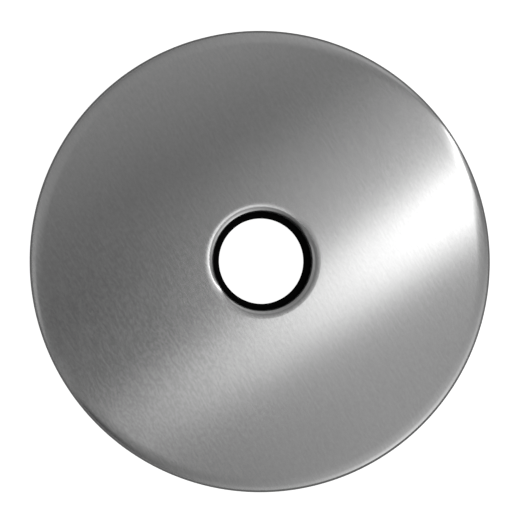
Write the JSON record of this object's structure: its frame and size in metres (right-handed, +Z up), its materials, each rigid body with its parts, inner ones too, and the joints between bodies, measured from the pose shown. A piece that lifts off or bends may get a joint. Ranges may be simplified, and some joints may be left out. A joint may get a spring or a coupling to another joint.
{
  "type": "floor drain grate",
  "caption": "Round brushed-steel dome cover for a floor or shower drain, with a rubber-lined centre opening and a clip-in strainer below.",
  "frame": {"origin": "on the axis of the centre opening, at the lower edge of the support ring, which is the lowest surface; the drain flange meets the foot pads 14 mm above it", "axes": "+Z up along the axis of the centre opening, out of the drain; +X through the first locating pin"},
  "size_m": [0.115, 0.115, 0.0255],
  "materials": {
    "cover_steel": "straight-line brushed stainless steel",
    "grommet_rubber": "matt black rubber",
    "ring_plastic": "moulded dark grey polypropylene",
    "tray_plastic": "moulded mid grey polypropylene",
    "sleeve_plastic": "moulded dark grey polypropylene",
    "pad_rubber": "matt black rubber",
    "o_ring_rubber": "smooth black rubber",
    "pin_steel": "turned stainless steel",
    "spring_steel": "rolled stainless spring strip",
    "rivet_steel": "headed stainless steel"
  },
  "bodies": {
    "basket": {"support_ring": "ring_plastic", "strainer_tray": "tray_plastic", "hose_sleeve": "sleeve_plastic", "foot_pad_1": "pad_rubber", "foot_pad_2": "pad_rubber", "foot_pad_3": "pad_rubber", "foot_pad_4": "pad_rubber", "foot_pad_5": "pad_rubber", "foot_pad_6": "pad_rubber", "spring_rivet_1": "rivet_steel", "spring_rivet_2": "rivet_steel", "spring_rivet_3": "rivet_steel"},
    "cover": {"cover_plate": "cover_steel", "centre_grommet": "grommet_rubber", "locating_pin_1": "pin_steel", "locating_pin_2": "pin_steel", "locating_pin_3": "pin_steel", "pin_o_ring_1": "o_ring_rubber", "pin_o_ring_2": "o_ring_rubber", "pin_o_ring_3": "o_ring_rubber"},
    "spring_1": {"retaining_spring_1": "spring_steel"},
    "spring_2": {"retaining_spring_2": "spring_steel"},
    "spring_3": {"retaining_spring_3": "spring_steel"}
  },
  "joints": [
    {"name": "cover_lift", "type": "slide", "parent": "basket", "child": "cover", "axis": [0, 0, 1], "range_m": [0, 0.03]},
    {"name": "spring_flex_1", "type": "hinge", "parent": "basket", "child": "spring_1", "pos_m": [0.02185, 0.03785, 0.0116], "axis": [-0.866, 0.5, 0], "range_deg": [0, 12], "stiffness_Nm_per_rad": 0.25},
    {"name": "spring_flex_2", "type": "hinge", "parent": "basket", "child": "spring_2", "pos_m": [-0.0437, 0, 0.0116], "axis": [0, -1, 0], "range_deg": [0, 12], "stiffness_Nm_per_rad": 0.25},
    {"name": "spring_flex_3", "type": "hinge", "parent": "basket", "child": "spring_3", "pos_m": [0.02185, -0.03785, 0.0116], "axis": [0.866, 0.5, 0], "range_deg": [0, 12], "stiffness_Nm_per_rad": 0.25}
  ]
}
